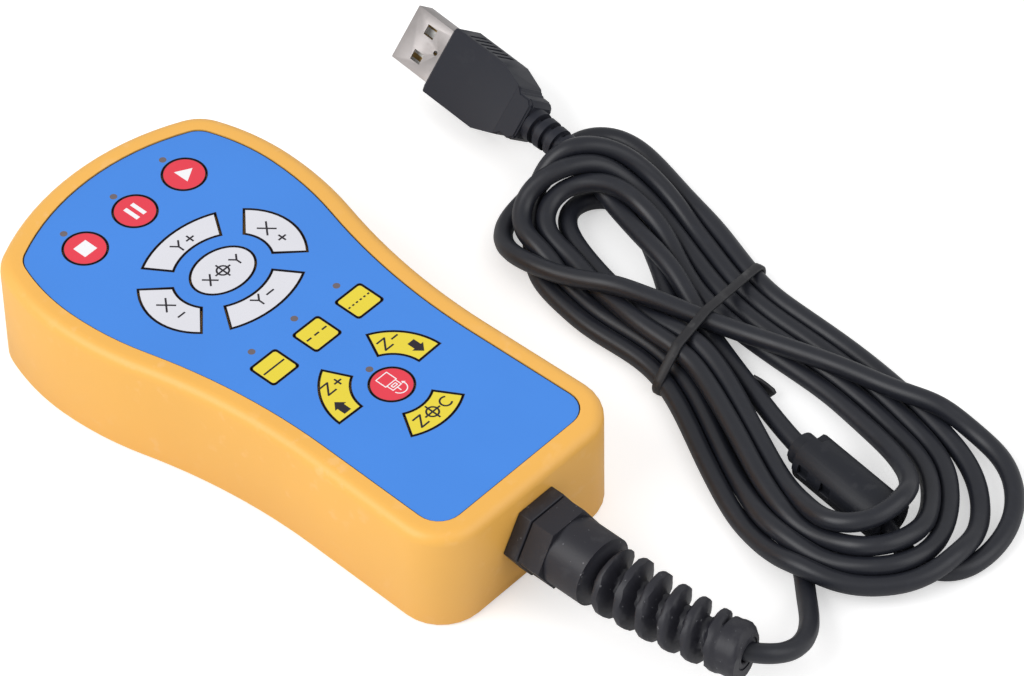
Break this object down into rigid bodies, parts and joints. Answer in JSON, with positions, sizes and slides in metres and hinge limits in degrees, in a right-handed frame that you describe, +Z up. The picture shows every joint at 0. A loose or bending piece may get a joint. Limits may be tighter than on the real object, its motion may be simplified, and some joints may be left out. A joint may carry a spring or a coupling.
{
  "type": "keypad pendant controller",
  "caption": "Hand-held keypad pendant for jogging a machine: flat membrane keys in a waisted case, spiral cable gland, coiled lead with ferrite bead and plug.",
  "frame": {"origin": "centre of the case's underside, on the surface that it rests on", "axes": "+X to the right of a user who reads the keys, +Y from the cable end to the head, +Z up out of the keypad"},
  "size_m": [0.1267, 0.187, 0.0247],
  "materials": {
    "housing_yellow": "satin moulded",
    "cover_yellow": "satin moulded",
    "screw_steel": "black-zinc",
    "overlay_blue": "printed polyester film",
    "spacer_black": "adhesive film",
    "light_pipe": "smoked clear",
    "led_body": "clear epoxy",
    "switch_black": "moulded",
    "board_green": "solder mask",
    "component_black": "moulded",
    "header_ivory": "moulded nylon",
    "wire_red": "insulation",
    "gland_black": "moulded nylon",
    "seal_rubber": "moulded",
    "cable_black": "soft satin jacket",
    "tie_black": "soft band",
    "bead_black": "moulded",
    "ferrite_grey": "sintered ferrite",
    "plug_black": "satin overmould",
    "shell_steel": "nickel-plated",
    "tongue_white": "moulded",
    "contact_gold": "gold flash",
    "key_red": "printed film",
    "key_white": "printed film",
    "key_yellow": "printed film",
    "plunger_white": "moulded"
  },
  "bodies": {
    "pendant": {"upper_housing": "housing_yellow", "rear_cover": "cover_yellow", "cover_screws": "screw_steel", "board_screws": "screw_steel", "graphic_overlay": "overlay_blue", "spacer_sheet": "spacer_black", "light_pipes": "light_pipe", "indicator_leds": "led_body", "switch_bodies": "switch_black", "circuit_board": "board_green", "board_components": "component_black", "cable_header": "header_ivory", "inner_leads": "wire_red", "gland_body": "gland_black", "gland_locknut": "gland_black", "gland_cap": "gland_black", "gland_seal": "seal_rubber", "cord_entry": "cable_black", "cord_lead": "cable_black", "cord_hank": "cable_black", "cord_bead": "cable_black", "cord_tie": "tie_black", "ferrite_case_lower": "bead_black", "ferrite_case_upper": "bead_black", "ferrite_core": "ferrite_grey", "usb_overmould": "plug_black", "usb_shell": "shell_steel", "usb_tongue": "tongue_white", "usb_contacts": "contact_gold"},
    "push_stop": {"key_stop": "key_red", "plunger_stop": "plunger_white"},
    "push_pause": {"key_pause": "key_red", "plunger_pause": "plunger_white"},
    "push_start": {"key_start": "key_red", "plunger_start": "plunger_white"},
    "push_centre": {"key_centre": "key_white", "plunger_centre": "plunger_white"},
    "push_y_plus": {"key_y_plus": "key_white", "plunger_y_plus": "plunger_white"},
    "push_y_minus": {"key_y_minus": "key_white", "plunger_y_minus": "plunger_white"},
    "push_x_minus": {"key_x_minus": "key_white", "plunger_x_minus": "plunger_white"},
    "push_x_plus": {"key_x_plus": "key_white", "plunger_x_plus": "plunger_white"},
    "push_step_solid": {"key_step_solid": "key_yellow", "plunger_step_solid": "plunger_white"},
    "push_step_dash": {"key_step_dash": "key_yellow", "plunger_step_dash": "plunger_white"},
    "push_step_dot": {"key_step_dot": "key_yellow", "plunger_step_dot": "plunger_white"},
    "push_spindle": {"key_spindle": "key_red", "plunger_spindle": "plunger_white"},
    "push_z_plus": {"key_z_plus": "key_yellow", "plunger_z_plus": "plunger_white"},
    "push_z_minus": {"key_z_minus": "key_yellow", "plunger_z_minus": "plunger_white"},
    "push_z_centre": {"key_z_centre": "key_yellow", "plunger_z_centre": "plunger_white"}
  },
  "joints": [
    {"name": "press_stop", "type": "slide", "parent": "pendant", "child": "push_stop", "axis": [0, 0, -1], "range_m": [0, 0.0003], "stiffness_N_per_m": 1800, "springref_m": -0.0004},
    {"name": "press_pause", "type": "slide", "parent": "pendant", "child": "push_pause", "axis": [0, 0, -1], "range_m": [0, 0.0003], "stiffness_N_per_m": 1800, "springref_m": -0.0004},
    {"name": "press_start", "type": "slide", "parent": "pendant", "child": "push_start", "axis": [0, 0, -1], "range_m": [0, 0.0003], "stiffness_N_per_m": 1800, "springref_m": -0.0004},
    {"name": "press_centre", "type": "slide", "parent": "pendant", "child": "push_centre", "axis": [0, 0, -1], "range_m": [0, 0.0003], "stiffness_N_per_m": 1800, "springref_m": -0.0004},
    {"name": "press_y_plus", "type": "slide", "parent": "pendant", "child": "push_y_plus", "axis": [0, 0, -1], "range_m": [0, 0.0003], "stiffness_N_per_m": 1800, "springref_m": -0.0004},
    {"name": "press_y_minus", "type": "slide", "parent": "pendant", "child": "push_y_minus", "axis": [0, 0, -1], "range_m": [0, 0.0003], "stiffness_N_per_m": 1800, "springref_m": -0.0004},
    {"name": "press_x_minus", "type": "slide", "parent": "pendant", "child": "push_x_minus", "axis": [0, 0, -1], "range_m": [0, 0.0003], "stiffness_N_per_m": 1800, "springref_m": -0.0004},
    {"name": "press_x_plus", "type": "slide", "parent": "pendant", "child": "push_x_plus", "axis": [0, 0, -1], "range_m": [0, 0.0003], "stiffness_N_per_m": 1800, "springref_m": -0.0004},
    {"name": "press_step_solid", "type": "slide", "parent": "pendant", "child": "push_step_solid", "axis": [0, 0, -1], "range_m": [0, 0.0003], "stiffness_N_per_m": 1800, "springref_m": -0.0004},
    {"name": "press_step_dash", "type": "slide", "parent": "pendant", "child": "push_step_dash", "axis": [0, 0, -1], "range_m": [0, 0.0003], "stiffness_N_per_m": 1800, "springref_m": -0.0004},
    {"name": "press_step_dot", "type": "slide", "parent": "pendant", "child": "push_step_dot", "axis": [0, 0, -1], "range_m": [0, 0.0003], "stiffness_N_per_m": 1800, "springref_m": -0.0004},
    {"name": "press_spindle", "type": "slide", "parent": "pendant", "child": "push_spindle", "axis": [0, 0, -1], "range_m": [0, 0.0003], "stiffness_N_per_m": 1800, "springref_m": -0.0004},
    {"name": "press_z_plus", "type": "slide", "parent": "pendant", "child": "push_z_plus", "axis": [0, 0, -1], "range_m": [0, 0.0003], "stiffness_N_per_m": 1800, "springref_m": -0.0004},
    {"name": "press_z_minus", "type": "slide", "parent": "pendant", "child": "push_z_minus", "axis": [0, 0, -1], "range_m": [0, 0.0003], "stiffness_N_per_m": 1800, "springref_m": -0.0004},
    {"name": "press_z_centre", "type": "slide", "parent": "pendant", "child": "push_z_centre", "axis": [0, 0, -1], "range_m": [0, 0.0003], "stiffness_N_per_m": 1800, "springref_m": -0.0004}
  ]
}
